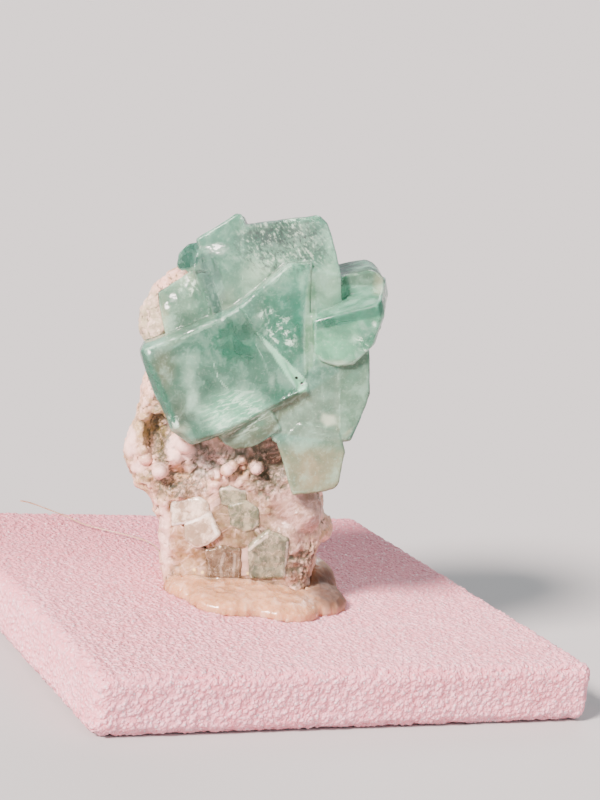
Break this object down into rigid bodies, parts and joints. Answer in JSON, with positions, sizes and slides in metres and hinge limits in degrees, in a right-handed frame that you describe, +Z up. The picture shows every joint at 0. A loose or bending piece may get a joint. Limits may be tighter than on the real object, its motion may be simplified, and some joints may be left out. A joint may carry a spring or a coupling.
{
  "type": "fluorite specimen",
  "caption": "Green fluorite crystals grown on a pale rock matrix, held upright by hot glue on a square foam slab, for display.",
  "frame": {"origin": "middle of the foam slab's underside", "axes": "+Z up from the slab, +X along the slab's front edge, +Y away from the front edge; the crystals face about 27 degrees to the left of -Y"},
  "size_m": [0.08, 0.08, 0.0689],
  "materials": {
    "foam": "matt cellular foam, pinkish white",
    "glue": "milky, glossy hot glue",
    "matrix": "rough pinkish white rock with olive brown grains",
    "fluorite": "clear to milky sea green crystal with a waxy gloss",
    "pale_fluorite": "pale green glassy crystal",
    "clear_crystal": "brownish clear crystal"
  },
  "bodies": {
    "root": {"foam_slab": "foam", "hot_glue": "glue", "matrix_rock": "matrix", "fluorite_cluster": "fluorite", "fluorite_lower_left": "pale_fluorite", "fluorite_lower_middle": "pale_fluorite", "fluorite_lower_right": "pale_fluorite", "clear_crystal_base": "clear_crystal"}
  },
  "joints": []
}
